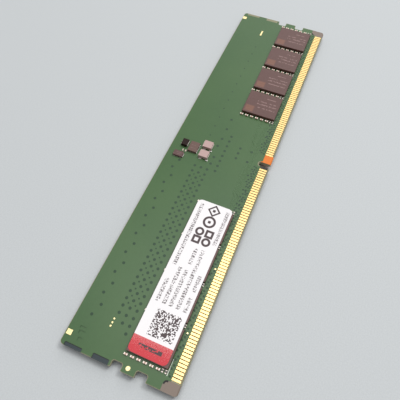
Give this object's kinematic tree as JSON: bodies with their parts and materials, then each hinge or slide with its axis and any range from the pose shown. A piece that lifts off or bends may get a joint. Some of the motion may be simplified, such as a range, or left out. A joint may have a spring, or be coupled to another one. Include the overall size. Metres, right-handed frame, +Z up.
{
  "type": "memory module",
  "caption": "Flat desktop memory module: a notched green board with gold edge contacts, a key slot, rows of square chips on both faces, and a printed label.",
  "frame": {"origin": "under the middle of the board's outline, on the plane that the module lies on", "axes": "+X along the board away from the label end, +Y across the board away from the contact edge, +Z up out of the front face"},
  "size_m": [0.1334, 0.0312, 0.0037],
  "materials": {
    "laminate": "cut glass-fibre laminate, satin",
    "solder_mask": "green solder mask over copper, semi-gloss",
    "gold_contact": "gold-plated copper, polished",
    "chip_package": "moulded package, fine matt",
    "small_parts": "fired ceramic with tinned ends",
    "inductor_body": "pressed ferrite powder, matt",
    "dark_inductor": "pressed ferrite powder, matt",
    "tinned_terminal": "tin-plated copper, bright",
    "label_film": "white printed film, satin"
  },
  "bodies": {
    "root": {"board_core": "laminate", "solder_mask_front": "solder_mask", "solder_mask_back": "solder_mask", "contacts_front_long": "gold_contact", "contacts_front_short": "gold_contact", "contacts_back_long": "gold_contact", "contacts_back_short": "gold_contact", "memory_chip_front_1": "chip_package", "memory_chip_front_2": "chip_package", "memory_chip_front_3": "chip_package", "memory_chip_front_4": "chip_package", "memory_chip_front_5": "chip_package", "memory_chip_front_6": "chip_package", "memory_chip_front_7": "chip_package", "memory_chip_front_8": "chip_package", "memory_chip_back_1": "chip_package", "memory_chip_back_2": "chip_package", "memory_chip_back_3": "chip_package", "memory_chip_back_4": "chip_package", "memory_chip_back_5": "chip_package", "memory_chip_back_6": "chip_package", "memory_chip_back_7": "chip_package", "memory_chip_back_8": "chip_package", "small_parts_front_1": "small_parts", "small_parts_front_2": "small_parts", "small_parts_front_3": "small_parts", "small_parts_front_4": "small_parts", "small_parts_front_5": "small_parts", "small_parts_front_6": "small_parts", "small_parts_front_7": "small_parts", "small_parts_front_8": "small_parts", "small_parts_front_9": "small_parts", "small_parts_front_10": "small_parts", "small_parts_back_1": "small_parts", "small_parts_back_2": "small_parts", "small_parts_back_3": "small_parts", "small_parts_back_4": "small_parts", "small_parts_back_5": "small_parts", "small_parts_back_6": "small_parts", "small_parts_back_7": "small_parts", "small_parts_back_8": "small_parts", "small_parts_back_9": "small_parts", "small_parts_back_10": "small_parts", "power_controller": "chip_package", "presence_detect_hub": "chip_package", "small_inductor": "dark_inductor", "small_inductor_top_terminal": "tinned_terminal", "small_inductor_bottom_terminal": "tinned_terminal", "supply_inductor_1": "inductor_body", "supply_inductor_1_top_terminal": "tinned_terminal", "supply_inductor_1_bottom_terminal": "tinned_terminal", "supply_inductor_2": "inductor_body", "supply_inductor_2_top_terminal": "tinned_terminal", "supply_inductor_2_bottom_terminal": "tinned_terminal", "label": "label_film"}
  },
  "joints": []
}
